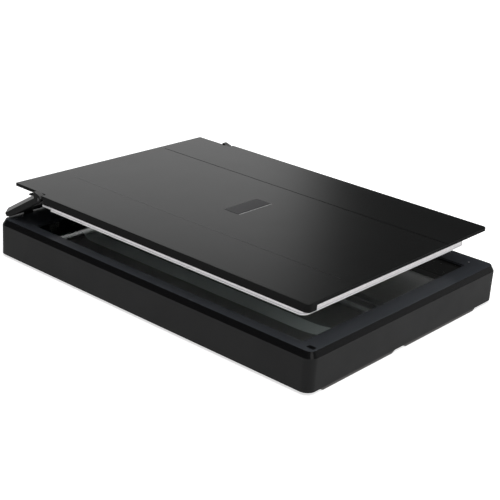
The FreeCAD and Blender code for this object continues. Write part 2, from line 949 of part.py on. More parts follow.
node(cut(bush, bush_bore), "rod_bush")
belt_run = d.belt_x - d.belt_pitch
clamp = box(belt_run - 3, belt_run + 3, d.home_y + 2.2, high_y, 6.6, d.frame_foot)
clamp_slot = box(
    belt_run - d.belt_half - 0.05,
    belt_run + d.belt_half + 0.05,
    d.home_y,
    high_y + 2,
    d.belt_foot - 0.1,
    d.belt_head + 0.1,
)
node(cut(clamp, clamp_slot), "belt_clamp")

# ---- hinge: the swing frame is drawn lying closed, with its rear axle at its own origin

swing = new_body("cover_bridge")
# the frame's rear end, round about the axle
EYE_ROUND = [(1.0, d.frame_top), (3.4, 0.8), (3.0, -1.2), (1.3, -2.5), (-1.3, -2.5)]
tip_front = d.pivot_reach - 3.5
arm_profile = [
    (d.pivot_reach - 2.2, d.frame_bottom),
    (tip_front, d.pivot_drop - 0.7),
    (tip_front, d.pivot_drop + 2.05),
    (d.pivot_reach - 2.7, d.pivot_drop + 3.2),
    (d.pivot_reach + 1.55, d.pivot_drop + 7.55),
    (d.pivot_reach + 4.0, d.frame_top),
    *EYE_ROUND,
    (-3.0, d.frame_bottom),
]
web_profile = [
    (d.web_front, -3.1),
    (d.web_front, d.web_top),
    (d.spine_front, d.web_top),
    (d.spine_front, d.frame_top),
    *EYE_ROUND,
    (-3.0, -3.1),
]
prism(
    swing, -d.arm_outer, -d.arm_inner, ("polygon", arm_profile), role="YZ_Plane"
)
prism(
    swing, -d.arm_inner, d.arm_inner, ("polygon", web_profile), role="YZ_Plane"
)
prism(swing, d.arm_inner, d.arm_outer, ("polygon", arm_profile), role="YZ_Plane")
# room for the two posts
POST_ROOM = 6.2
for side in (-1, 1):
    middle = side * d.post_x.value
    prism(
        swing,
        middle - d.post_half.value - 0.4,
        middle + d.post_half.value + 0.4,
        rect(-POST_ROOM, 5.0, -5.0, 8.0),
        role="YZ_Plane",
        remove=True,
    )
AXLE_START, AXLE_END = 88.0, 112.0
for side in (-1, 1):
    # each axle lies in a slot, which lets the frame shift a little as it folds down
    eye_radius = d.axle_radius + d.slot_play
    slot = [
        ("circle", 0.0, 0.0, eye_radius),
        ("circle", -d.axle_slack, 0.0, eye_radius),
        rect(-d.axle_slack, 0.0, -eye_radius, eye_radius),
    ]
    for outline in slot:
        prism(
            swing,
            min(side * AXLE_START, side * AXLE_END) - d.slot_play,
            max(side * AXLE_START, side * AXLE_END) + d.slot_play,
            outline,
            role="YZ_Plane",
            remove=True,
        )
    ends = (d.arm_inner * side, d.arm_outer * side)
    prism(
        swing,
        ends[0] if side > 0 else ends[1],
        ends[1] if side > 0 else ends[0],
        ("circle", d.pivot_reach, d.pivot_drop, d.pivot_pin_radius + 0.02),
        role="YZ_Plane",
        remove=True,
    )


# the outer top corner of each arm is bevelled from its ear to its rear end
bevel_start = d.pivot_reach + 4.2
for side in (-1, 1):
    outside = side * (d.arm_outer + 1.0)
    triangle = [
        (outside, d.frame_top + 1.0),
        (side * (d.arm_outer - d.arm_bevel - 1.0), d.frame_top + 1.0),
        (outside, d.frame_top - d.arm_bevel - 1.0),
    ]
    prism(swing, bevel_start, 4.0, ("polygon", triangle), role="XZ_Plane", remove=True)
raised = FreeCAD.Rotation(FreeCAD.Vector(1, 0, 0), -d.raise_angle.value)
place(swing, 0, d.hinge_y, d.hinge_z, raised)

axles = [
    cylinder("X", x, d.hinge_y, d.hinge_z, d.axle_radius, AXLE_END - AXLE_START)
    for x in (-AXLE_END, AXLE_START)
]
node(group(*axles), "hinge_axles")

# place of the front pivot with the frame raised
lean = math.radians(d.raise_angle.value)
PIVOT_Y = d.hinge_y.value + d.pivot_reach.value * math.cos(lean) + d.pivot_drop.value * math.sin(lean)
PIVOT_Z = d.hinge_z.value - d.pivot_reach.value * math.sin(lean) + d.pivot_drop.value * math.cos(lean)
inner_end = d.cheek_inner - 0.6
outer_end = d.arm_outer - 0.4
pins = [
    cylinder("X", start, PIVOT_Y, PIVOT_Z, d.pivot_pin_radius, outer_end - inner_end)
    for start in (-outer_end, inner_end)
]
node(group(*pins), "pivot_pins")

# ---- lid

lid = new_body("lid_shell")
plate_foot = d.lid_top - d.lid_plate
prism(
    lid,
    plate_foot,
    d.lid_top,
    ("rounded", -d.lid_half, d.lid_half, d.lid_front, d.lid_rear, d.lid_corner),
)
prism(
    lid,
    d.skirt_foot,
    plate_foot,
    ("rounded", -d.lid_half, d.lid_half, d.lid_front, d.notch_front, d.lid_corner),
)
for side in (-1, 1):
    low, high = sorted((side * d.cheek_inner.value, side * d.rear_half.value))
    prism(lid, d.skirt_foot, plate_foot, rect(low, high, d.notch_front - 4, d.cheek_rear))
    low, high = sorted((side * d.rear_half.value, side * (d.lid_half.value + 1)))
    prism(
        lid,
        d.skirt_foot - 1,
        d.lid_top + 1,
        rect(low, high, d.notch_front, d.lid_rear + 1),
        remove=True,
    )
prism(
    lid,
    d.skirt_foot,
    plate_foot,
    rect(
        -d.lid_half + d.skirt_wall,
        d.lid_half - d.skirt_wall,
        d.lid_front + d.skirt_wall,
        d.notch_front - d.skirt_wall,
    ),
    remove=True,
)
# the skirt is open along the front, and round the right corner, where fingers lift the lid
FINGER_LEFT = -112.0
FINGER_REAR = -150.0
finger_right = d.lid_half + 1
prism(
    lid,
    d.skirt_foot,
    plate_foot,
    rect(FINGER_LEFT, finger_right, d.lid_front - 1, d.lid_front + d.skirt_wall),
    remove=True,
)
prism(
    lid,
    d.skirt_foot,
    plate_foot,
    rect(d.lid_half - d.skirt_wall - 1, finger_right, d.lid_front, FINGER_REAR),
    remove=True,
)
prism(
    lid,
    d.skirt_foot,
    plate_foot,
    rect(
        -d.cheek_inner,
        d.cheek_inner,
        d.notch_front - d.skirt_wall - 0.1,
        d.notch_front + 0.1,
    ),
    remove=True,
)


def is_lid_outline(edge):
    """The edges around the lid's top face in front of the arm notches."""
    middle = edge.CenterOfMass
    on_top = abs(middle.z - d.lid_top.value) < 1e-3
    near_side = abs(middle.x) > d.lid_half.value - 2.0 and middle.y < 100.0
    near_front = middle.y < d.lid_front.value + 2.0
    return on_top and (near_side or near_front)


top_edges = [
    f"Edge{i}" for i, edge in enumerate(lid.Shape.Edges, start=1) if is_lid_outline(edge)
]
sharp_lid = lid.Tip
softened = lid.newObject("PartDesign::Fillet", "Soft")
softened.Base = (sharp_lid, top_edges)
softened.Radius = 0.5
prism(
    lid,
    d.lid_top - d.groove_depth,
    d.lid_top,
    rect(
        d.groove_x - d.groove_width / 2,
        d.groove_x + d.groove_width / 2,
        d.lid_front - 1,
        d.lid_rear - 6.0,
    ),
    remove=True,
)
# two hooks behind the pivots, and a low rim along the rear edge
HOOK_STEM_FRONT, HOOK_STEM_REAR, HOOK_REAR, HOOK_TOP = 140.6, 144.2, 150.2, 61.9
for side in (-1, 1):
    low, high = sorted((side * 112.8, side * 116.2))
    prism(
        lid,
        low,
        high,
        (
            "polygon",
            [
                (HOOK_STEM_FRONT, d.skirt_foot + 0.3),
                (HOOK_REAR, d.skirt_foot + 0.3),
                (HOOK_REAR - 1.0, HOOK_TOP),
                (HOOK_STEM_REAR, HOOK_TOP),
                (HOOK_STEM_REAR, plate_foot),
                (HOOK_STEM_FRONT, plate_foot),
            ],
        ),
        role="YZ_Plane",
    )
prism(lid, plate_foot - 0.8, plate_foot, rect(-108.0, 108.0, d.lid_rear - 3.6, d.lid_rear - 1.6))
prism(
    lid,
    -d.rear_half - 1,
    d.rear_half + 1,
    ("circle", PIVOT_Y, PIVOT_Z, d.pivot_pin_radius + 0.05),
    role="YZ_Plane",
    remove=True,
)
# badge plate set in a shallow seat, and the thin bright line below it
BADGE = {"x": -1.6, "y": -0.8, "length": 42.2, "width": 15.5, "seat": 0.3, "proud": 0.2}


def centred(x, y, length, width, grow=0.0):
    return (
        x - length / 2 - grow,
        x + length / 2 + grow,
        y - width / 2 - grow,
        y + width / 2 + grow,
    )


badge_box = centred(BADGE["x"], BADGE["y"], BADGE["length"], BADGE["width"])
line_box = centred(BADGE["x"], -10.0, BADGE["length"], 0.7)
prism(
    lid,
    d.lid_top - BADGE["seat"],
    d.lid_top,
    rect(*centred(BADGE["x"], BADGE["y"], BADGE["length"], BADGE["width"], 0.1)),
    rect(*centred(BADGE["x"], -10.0, BADGE["length"], 0.7, 0.05)),
    remove=True,
)
node(
    rounded_block(
        *badge_box, d.lid_top - BADGE["seat"], d.lid_top + BADGE["proud"], 0.8
    ),
    "lid_badge",
)
node(box(*line_box, d.lid_top - BADGE["seat"], d.lid_top + 0.05), "badge_line")

node(box(-112.5, 100.0, -152.5, 121.5, d.card_foot, plate_foot), "pad_card")
# the foam and the mat below it have the same outline, cut away beside the left pivot
PIVOT_NOTCH = rect(-120.0, -112.6, 122.0, 140.0)
for label, low, high in (
    ("pad_foam", d.mat_top, d.card_foot),
    ("document_mat", d.mat_foot, d.mat_top),
):
    layer = new_body(label)
    outline = ("rounded", d.mat_left, d.mat_right, d.mat_front, d.mat_rear, d.mat_corner)
    prism(layer, low, high, outline)
    prism(layer, low, high, PIVOT_NOTCH, remove=True)

# ---- check every object, then export each piece

doc.recompute()
for obj in doc.Objects:
    faults = [word for word in obj.State if word in ("Invalid", "Error")]
    if faults:
        raise RuntimeError(f"{obj.Name} ({obj.Label}) is {faults}")
total = 0.0
for obj in NODES:
    shape = obj.Shape
    if shape.isNull() or not shape.isValid() or not shape.Solids:
        raise RuntimeError(f"{obj.Label} has no valid solid")
    shape.exportStep(f"parts/{obj.Label}.step")
    total += shape.Volume
    bounds = shape.BoundBox
    print(
        f"{obj.Label:20s} solids {len(shape.Solids):2d}  volume {shape.Volume / 1000:9.3f} cm3"
        f"  x {bounds.XMin:8.2f} {bounds.XMax:8.2f}  y {bounds.YMin:8.2f} {bounds.YMax:8.2f}"
        f"  z {bounds.ZMin:7.2f} {bounds.ZMax:7.2f}"
    )
print(f"{len(NODES)} pieces, {total / 1000:.1f} cm3, pivot at y {PIVOT_Y:.3f} z {PIVOT_Z:.3f}")
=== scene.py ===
"""A black flatbed scanner, its lid raised level above the glass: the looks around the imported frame."""

import math

import bmesh
import bpy
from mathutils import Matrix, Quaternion, Vector, noise


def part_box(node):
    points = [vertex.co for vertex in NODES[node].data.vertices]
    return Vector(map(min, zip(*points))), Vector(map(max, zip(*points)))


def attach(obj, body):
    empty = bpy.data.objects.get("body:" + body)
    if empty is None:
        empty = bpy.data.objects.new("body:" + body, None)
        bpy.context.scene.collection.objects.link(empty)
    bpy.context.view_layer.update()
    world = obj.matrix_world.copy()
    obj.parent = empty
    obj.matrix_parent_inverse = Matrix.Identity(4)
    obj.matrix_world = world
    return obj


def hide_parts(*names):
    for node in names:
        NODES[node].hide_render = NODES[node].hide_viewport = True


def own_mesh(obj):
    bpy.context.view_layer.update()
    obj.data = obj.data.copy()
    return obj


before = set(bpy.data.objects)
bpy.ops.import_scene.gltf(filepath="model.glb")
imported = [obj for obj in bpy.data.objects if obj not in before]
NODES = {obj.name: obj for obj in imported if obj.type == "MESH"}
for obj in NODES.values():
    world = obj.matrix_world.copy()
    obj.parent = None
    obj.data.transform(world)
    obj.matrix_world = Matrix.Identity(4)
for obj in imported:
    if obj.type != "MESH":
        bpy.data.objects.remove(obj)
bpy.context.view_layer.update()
MM = 0.001

# ---------------------------------------------------------------- camera, floor and light

# Where the camera stands: its aim, distance in metres, and heading, rise and roll in degrees.
AIM = Vector((1.3, -4.6, 27.1)) * MM
CAMERA_DISTANCE = 1.0266
CAMERA_TURN = -50.37
CAMERA_RISE = 21.73
CAMERA_ROLL = 4.11
CAMERA_LENS = 85.15


def away(turn, rise, distance):
    """The point at that distance from the object; turn 0 is in front of it and 90 to its right."""
    turn, rise = math.radians(turn), math.radians(rise)
    flat = math.cos(rise) * distance
    return Vector((math.sin(turn) * flat, -math.cos(turn) * flat, math.sin(rise) * distance))


def aimed(thing, place, target, roll=0.0):
    """Put a camera or lamp at a place, looking at a target, rolled about its line of sight."""
    thing.location = place
    thing.rotation_mode = "QUATERNION"
    looking = (target - place).to_track_quat("-Z", "Y")
    thing.rotation_quaternion = looking @ Quaternion((0, 0, 1), math.radians(roll))
    bpy.context.scene.collection.objects.link(thing)


def make_camera():
    """The camera, in front of the object's left corner and above it."""
    data = bpy.data.cameras.new("camera")
    data.lens = CAMERA_LENS
    data.clip_start, data.clip_end = 0.05, 50.0
    camera = bpy.data.objects.new("camera", data)
    aimed(camera, AIM + away(CAMERA_TURN, CAMERA_RISE, CAMERA_DISTANCE), AIM, CAMERA_ROLL)
    bpy.context.scene.camera = camera


def softbox(name, place, width, power):
    """A square lamp that faces the object."""
    data = bpy.data.lights.new(name, "AREA")
    data.shape = "SQUARE"
    data.size = width
    data.energy = power
    aimed(bpy.data.objects.new(name, data), place, Vector((0, 0, 0)))


# How bright the room is, and the soft panels and ceiling in it.
ROOM = 0.03
REAR_PANEL = 1.22
FRONT_PANEL = 0.5
CEILING = 1.0

# Power of the two lamps, in watts.
OVERHEAD = 22
FILL = 12


def make_world():
    """A dim room with a soft panel behind the object, a fainter one in front, and a pale ceiling.

    turn is the heading of a direction, from +X towards +Y, and height is the sine of its elevation.
    """
    world = bpy.data.worlds.new("studio")
    world.use_nodes = True
    bpy.context.scene.world = world
    g = Graph(world.node_tree)
    g.place = g.add("ShaderNodeTexCoord").outputs["Generated"]
    turn = g.calculate("ARCTAN2", g.axis("Y"), g.axis("X"))
    height = g.axis("Z")

    rear_right_end = g.spread(turn, math.radians(35.2), math.radians(38.2))
    rear_left_end = g.spread(turn, math.radians(115.0), math.radians(100.0))
    rear_top = g.spread(height, 0.325, 0.455, REAR_PANEL, 0.0)
    rear_foot = g.spread(height, 0.26, 0.34, 0.76, 1.0)
    rear = g.times(rear_right_end, rear_left_end, rear_top, rear_foot)

    front_left_end = g.spread(turn, math.radians(-150.0), math.radians(-115.0))
    front_right_end = g.spread(turn, math.radians(5.0), math.radians(-25.0))
    front = g.times(front_left_end, front_right_end, g.spread(height, 0.15, 0.5, FRONT_PANEL, 0.0))

    level = g.plus(rear, front, ROOM, g.times(g.spread(height, 0.60, 0.90), CEILING))
    seen = g.add("ShaderNodeLightPath").outputs["Is Camera Ray"]
    background = g.nodes["Background"]
    g.wire(g.calculate("MAXIMUM", level, seen), background, "Strength")
    background.inputs["Color"].default_value = (1.0, 1.0, 1.0, 1.0)


def make_stage():
    """A pale floor that glows a little, so that it stays white to the edges, and two soft lamps."""
    make_world()
    bpy.ops.mesh.primitive_plane_add(size=24.0, location=(0, 0, 0))
    floor = bpy.context.object
    floor.name = "floor"
    pale = Surface("floor_pale", (0.9, 0.9, 0.9), 0.8, specular=0.0)
    pale.set("Emission Color", (1.0, 1.0, 1.0, 1.0))
    pale.set("Emission Strength", 0.66)
    floor.data.materials.append(pale.material)
    softbox("overhead", Vector((-0.45, -0.75, 3.0)), 1.8, OVERHEAD)
    softbox("front_fill", away(-20, 40, 2.6), 1.4, FILL)
    bpy.context.scene.view_settings.view_transform = "Standard"


# ---------------------------------------------------------------- materials


class Graph:
    """Short ways to add and join shader nodes."""

    def __init__(self, tree):
        self.nodes, self.links = tree.nodes, tree.links
        self.place = None

    def add(self, kind, **settings):
        node = self.nodes.new(kind)
        for key, value in settings.items():
            setattr(node, key, value)
        return node

    def wire(self, source, node, socket):
        """Join an output to a node's input, or set the input to a plain value."""
        if isinstance(source, bpy.types.NodeSocket):
            self.links.new(source, node.inputs[socket])
        else:
            node.inputs[socket].default_value = source

    def calculate(self, operation, a, b=0.0, c=0.0):
        """One sum on up to three numbers."""
        node = self.add("ShaderNodeMath", operation=operation)
        for index, value in enumerate((a, b, c)):
            self.wire(value, node, index)
        return node.outputs[0]

    def times(self, first, *others):
        """The product of several numbers."""
        for value in others:
            first = self.calculate("MULTIPLY", first, value)
        return first

    def plus(self, first, *others):
        """The total of several numbers."""
        for value in others:
            first = self.calculate("ADD", first, value)
        return first

    def nearness(self, value, target, low, high):
        """1 within low of the target, 0 beyond high of it."""
        gap = self.calculate("ABSOLUTE", self.calculate("SUBTRACT", value, target))
        return self.spread(gap, low, high, 1.0, 0.0)

    def spread(self, value, low, high, to_low=0.0, to_high=1.0):
        """Map low..high to to_low..to_high, clamped."""
        node = self.add("ShaderNodeMapRange")
        ends = {"Value": value, "From Min": low, "From Max": high, "To Min": to_low, "To Max": to_high}
        for socket, source in ends.items():
            self.wire(source, node, socket)
        return node.outputs["Result"]

    def axis(self, name, vector=None):
        """One coordinate of a vector, or of the place."""
        node = self.add("ShaderNodeSeparateXYZ")
        self.links.new(vector or self.place, node.inputs[0])
        return node.outputs[name]


class Surface(Graph):
    """A procedural material on one Principled shader, with patterns in the object's own metres."""

    def __init__(self, name, colour, roughness, metallic=0.0, specular=0.5):
        self.material = bpy.data.materials.new(name)
        self.material.use_nodes = True
        super().__init__(self.material.node_tree)
        self.shader = self.nodes["Principled BSDF"]
        self.set("Base Color", (*colour, 1.0))
        self.set("Roughness", roughness)
        self.set("Metallic", metallic)
        self.set("Specular IOR Level", specular)
        self.place = self.add("ShaderNodeTexCoord").outputs["Object"]
        self.normal = None

    def set(self, socket, value):
        """Give a shader socket one value all over the surface."""
        self.shader.inputs[socket].default_value = value

    def stretched(self, x, y, z):
        """The place, with each axis scaled."""
        node = self.add("ShaderNodeVectorMath", operation="MULTIPLY")
        self.links.new(self.place, node.inputs[0])
        node.inputs[1].default_value = (x, y, z)
        return node.outputs["Vector"]

    def noise(self, size, detail=3.0, roughness=0.55, place=None):
        """Smooth noise whose features are about size metres."""
        node = self.add("ShaderNodeTexNoise")
        self.wire(place or self.place, node, "Vector")
        node.inputs["Scale"].default_value = 1.0 / size
        node.inputs["Detail"].default_value = detail
        node.inputs["Roughness"].default_value = roughness
        return node.outputs["Fac"]

    def cells(self, size, feature="F1"):
        """The distance from the middles, or from the edges, of cells about size metres wide."""
        node = self.add("ShaderNodeTexVoronoi", feature=feature)
        self.wire(self.place, node, "Vector")
        node.inputs["Scale"].default_value = 1.0 / size
        return node.outputs["Distance"]

    def mixed(self, share, first, second):
        """A colour between two colours."""
        node = self.add("ShaderNodeMix", data_type="RGBA")
        self.wire(share, node, "Factor")
        colours = [socket for socket in node.inputs if socket.type == "RGBA"]
        for socket, value in zip(colours, (first, second)):
            if isinstance(value, bpy.types.NodeSocket):
                self.links.new(value, socket)
            else:
                socket.default_value = (*value, 1.0)
        return next(socket for socket in node.outputs if socket.type == "RGBA")

    def between(self, share, first, second):
        """A number between two numbers."""
        step = self.calculate("SUBTRACT", second, first)
        return self.calculate("MULTIPLY_ADD", step, share, first)

    def facing(self, name):
        """How far the surface faces along one of the object's axes."""
        return self.axis(name, self.add("ShaderNodeTexCoord").outputs["Normal"])

    def paint(self, socket, value):
        """Drive a shader socket by a pattern."""
        self.wire(value, self.shader, socket)

    def bump(self, height, depth, strength=1.0):
        """Raise the surface by height (0 to 1) times depth metres."""
        node = self.add("ShaderNodeBump")
        node.inputs["Distance"].default_value = depth
        node.inputs["Strength"].default_value = strength
        self.wire(height, node, "Height")
        if self.normal is not None:
            self.links.new(self.normal, node.inputs["Normal"])
        self.normal = node.outputs["Normal"]
        self.paint("Normal", self.normal)


def shade(colour, factor):
    """The colour made lighter or darker."""
    return tuple(min(1.0, channel * factor) for channel in colour)


def moulded(name, colour, roughness, grain, depth, specular=0.5):
    """Injection-moulded plastic: fine spark-eroded grain, faint flow marks, a little dust and handling.

    grain is the size of the texture and depth its height, both in millimetres.
    """
    s = Surface(name, colour, roughness, specular=specular)
    flow = s.spread(s.noise(60 * MM, detail=2.0), 0.3, 0.7)
    dust = s.spread(s.noise(1.6 * MM, detail=3.0, roughness=0.7), 0.70, 0.80)
    tone = s.mixed(flow, shade(colour, 0.9), shade(colour, 1.15))
    s.paint("Base Color", s.mixed(s.times(dust, 0.08), tone, shade(colour, 3.0)))
    handled = s.spread(s.noise(28 * MM, detail=3.0), 0.35, 0.7, roughness - 0.02, roughness + 0.03)
    s.paint("Roughness", s.calculate("MULTIPLY_ADD", dust, 0.05, handled))
    s.bump(s.noise(grain * MM, detail=2.0, roughness=0.6), depth * MM)
    return s


def top_cover_material():
    """Black shell: grained matte walls, a smooth chamfered rim and a satin deck. The deck's upward faces
    carry painted light (coloured paler than the walls), and the rim carries a painted shade of its own.
    """
    # One plastic all over: the deck and rim colours are painted light and painted shade, not different
    # materials.
    wall_colour = (0.0034, 0.0035, 0.0037)
    rim_painted_shade_colour = (0.0045, 0.0045, 0.0048)
    deck_painted_light_colour = (0.031, 0.034, 0.0395)
    s = Surface("shell_black", wall_colour, 0.4, specular=0.17)
    tilt = s.facing("Z")
    rim = s.times(s.spread(tilt, 0.25, 0.5), s.spread(tilt, 0.93, 0.85))
    upward = s.spread(tilt, 0.85, 0.97)
    flow = s.spread(s.noise(70 * MM, detail=2.0), 0.3, 0.7)
    # Painted light on the upward faces and painted shade on the chamfered rim, chosen by which way each
    # face points.
    tone = s.mixed(upward, wall_colour, deck_painted_light_colour)
    deeper = s.mixed(upward, shade(wall_colour, 1.25), shade(deck_painted_light_colour, 1.2))
    s.paint("Base Color", s.mixed(rim, s.mixed(flow, tone, deeper), rim_painted_shade_colour))
    wall = s.spread(s.noise(30 * MM, detail=3.0), 0.3, 0.7, 0.58, 0.63)
    deck = s.spread(s.noise(24 * MM, detail=3.0), 0.3, 0.7, 0.23, 0.26)
    s.paint("Roughness", s.between(rim, s.between(upward, wall, deck), 0.2))
    grain = s.noise(0.35 * MM, detail=2.0, roughness=0.6)
    smooth_part = s.calculate("MAXIMUM", rim, upward)
    s.bump(s.times(grain, s.spread(smooth_part, 0.0, 1.0, 1.0, 0.2)), 0.015 * MM)
    return s


def hinge_material():
    """Black hinge plastic: matte on its sides, smoother on its upper faces, which carry a painted
    highlight: their colour is far paler than the sides.
    """
    low_colour, painted_highlight_colour = (0.0035, 0.0035, 0.0037), (0.115, 0.114, 0.114)
    s = Surface("hinge_black", low_colour, 0.5, specular=0.15)
    upward = s.spread(s.facing("Z"), 0.35, 0.6)
    patchy = s.spread(s.noise(9 * MM, detail=3.0), 0.3, 0.7, 0.9, 1.0)
    # Painted highlight: upward faces are coloured much paler, a little patchily.
    s.paint("Base Color", s.mixed(s.times(upward, patchy), low_colour, painted_highlight_colour))
    matte = s.spread(s.noise(12 * MM, detail=3.0), 0.3, 0.7, 0.72, 0.8)
    s.paint("Roughness", s.between(upward, matte, 0.3))
    s.bump(s.noise(0.35 * MM, detail=2.0, roughness=0.6), 0.015 * MM)
    return s


# A witness line of the mould on the lid: its place across the lid, and how far it runs each way.
WITNESS_X = -66 * MM
WITNESS_END = 150 * MM


def lid_material():
    """The lid's satin plate with its matte edges, coloured nearly black as painted shade, and a faint
    witness line along its left part.
    """
    colour = (0.0100, 0.0105, 0.0103)
    s = Surface("lid_black", colour, 0.2, specular=0.18)
    side = s.spread(s.facing("Z"), 0.5, 0.2)
    flow = s.spread(s.noise(80 * MM, detail=2.0), 0.3, 0.7)
    plate = s.mixed(flow, shade(colour, 0.93), shade(colour, 1.1))
    # Painted shade: faces that stand up from the plate are coloured nearly black.
    tone = s.mixed(side, plate, shade(colour, 0.08))
    across = s.nearness(s.axis("X"), WITNESS_X, 0.15 * MM, 0.45 * MM)
    line = s.times(across, s.nearness(s.axis("Y"), 0.0, WITNESS_END - 1 * MM, WITNESS_END))
    s.paint("Base Color", s.mixed(s.times(line, 0.5), tone, shade(colour, 2.0)))
    handled = s.spread(s.noise(35 * MM, detail=3.0), 0.3, 0.75, 0.195, 0.21)
    handled = s.calculate("MULTIPLY_ADD", line, 0.08, handled)
    s.paint("Roughness", s.between(side, handled, 0.85))
    s.bump(s.noise(0.3 * MM, detail=2.0, roughness=0.6), 0.005 * MM)
    s.bump(line, 0.03 * MM)
    return s


def metal(name, colour, roughness, grain=(1, 1, 1)):
    """Bare or plated steel; its drawn or rolled grain is finest along the axes with a high number."""
    s = Surface(name, colour, roughness, metallic=1.0)
    streak = s.noise(0.6 * MM, detail=4.0, place=s.stretched(*grain))
    tone = s.noise(9 * MM, detail=3.0)
    s.paint("Base Color", s.mixed(s.spread(tone, 0.3, 0.7), shade(colour, 0.8), shade(colour, 1.12)))
    s.paint("Roughness", s.spread(streak, 0.3, 0.7, roughness - 0.08, roughness + 0.1))
    s.bump(streak, 0.01 * MM)
    return s


def glass_material():
    """Clear float glass that lets lamps through."""
    s = Surface("document_glass", (0.93, 0.97, 0.955), 0.01)
    s.set("Transmission Weight", 1.0)
    s.set("IOR", 1.5)
    haze = s.spread(s.noise(18 * MM, detail=5.0), 0.45, 0.8, 0.01, 0.05)
    s.paint("Roughness", haze)
    clear = s.add("ShaderNodeBsdfTransparent")
    clear.inputs["Color"].default_value = (0.9, 0.94, 0.92, 1.0)
    light_path = s.add("ShaderNodeLightPath")
    mix = s.add("ShaderNodeMixShader")
    lit = s.calculate("MAXIMUM", light_path.outputs["Is Shadow Ray"], light_path.outputs["Is Diffuse Ray"])
    s.links.new(lit, mix.inputs[0])
    s.links.new(s.shader.outputs[0], mix.inputs[1])
    s.links.new(clear.outputs[0], mix.inputs[2])
    s.links.new(mix.outputs[0], s.nodes["Material Output"].inputs["Surface"])
    return s


def foam_material():
    """Open-cell foam: pale, matte, with fine pores painted darker as painted shade in their hollows."""
    colour = (0.86, 0.835, 0.85)
    s = Surface("foam_grey", colour, 0.9, specular=0.2)
    pores = s.cells(0.55 * MM)
    coarse = s.spread(s.noise(5 * MM, detail=3.0), 0.3, 0.7)
    skin = s.mixed(coarse, colour, shade(colour, 1.12))
    # Painted shade: the middle of each pore is coloured darker than the foam's skin.
    s.paint("Base Color", s.mixed(s.spread(pores, 0.05, 0.5), shade(colour, 0.72), skin))
    s.bump(s.spread(pores, 0.0, 0.5), 0.25 * MM, 0.8)
    return s


def sheet_material(name, colour, roughness):
    """A smooth white plastic sheet."""
    s = Surface(name, colour, roughness)
    cloud = s.noise(40 * MM, detail=3.0)
    s.paint("Base Color", s.mixed(s.spread(cloud, 0.3, 0.7), shade(colour, 0.985), shade(colour, 1.01)))
    s.bump(s.noise(0.5 * MM, detail=2.0), 0.01 * MM)
    return s


def rubber_material(name, colour):
    """Matte rubber with a fine uneven skin."""
    s = Surface(name, colour, 0.8, specular=0.3)
    s.paint("Roughness", s.spread(s.noise(6 * MM, detail=3.0), 0.3, 0.7, 0.7, 0.9))
    s.bump(s.noise(0.4 * MM, detail=3.0), 0.04 * MM)
    return s


def board_material():
    """Green solder mask over copper tracks, with tinned pads."""
    s = Surface("board_green", (0.02, 0.11, 0.045), 0.35)
    grid = s.cells(2.6 * MM, feature="DISTANCE_TO_EDGE")
    tracks = s.spread(grid, 0.10, 0.14)
    pads = s.spread(s.cells(3.4 * MM), 0.16, 0.13)
    copper = s.mixed(tracks, (0.035, 0.19, 0.08), (0.012, 0.085, 0.032))
    s.paint("Base Color", s.mixed(pads, copper, (0.62, 0.62, 0.58)))
    s.paint("Roughness", s.spread(pads, 0.0, 1.0, 0.32, 0.22))
    s.bump(s.calculate("SUBTRACT", 1.0, tracks), 0.04 * MM)
    return s


CONDUCTOR_PITCH = 1.0 * MM


def ribbon_material():
    """A white flat cable with its conductors showing as fine stripes."""
    s = Surface("ribbon_white", (0.72, 0.73, 0.75), 0.4)
    across = s.times(s.axis("X"), 2 * math.pi / CONDUCTOR_PITCH)
    stripe = s.spread(s.calculate("SINE", across), 0.1, 0.5)
    s.paint("Base Color", s.mixed(stripe, (0.78, 0.79, 0.8), (0.42, 0.43, 0.45)))
    s.bump(stripe, 0.05 * MM)
    return s


def wear(node, surface):
    """Give a node's object one material."""
    slots = NODES[node].data.materials
    slots.clear()
    slots.append(surface.material)


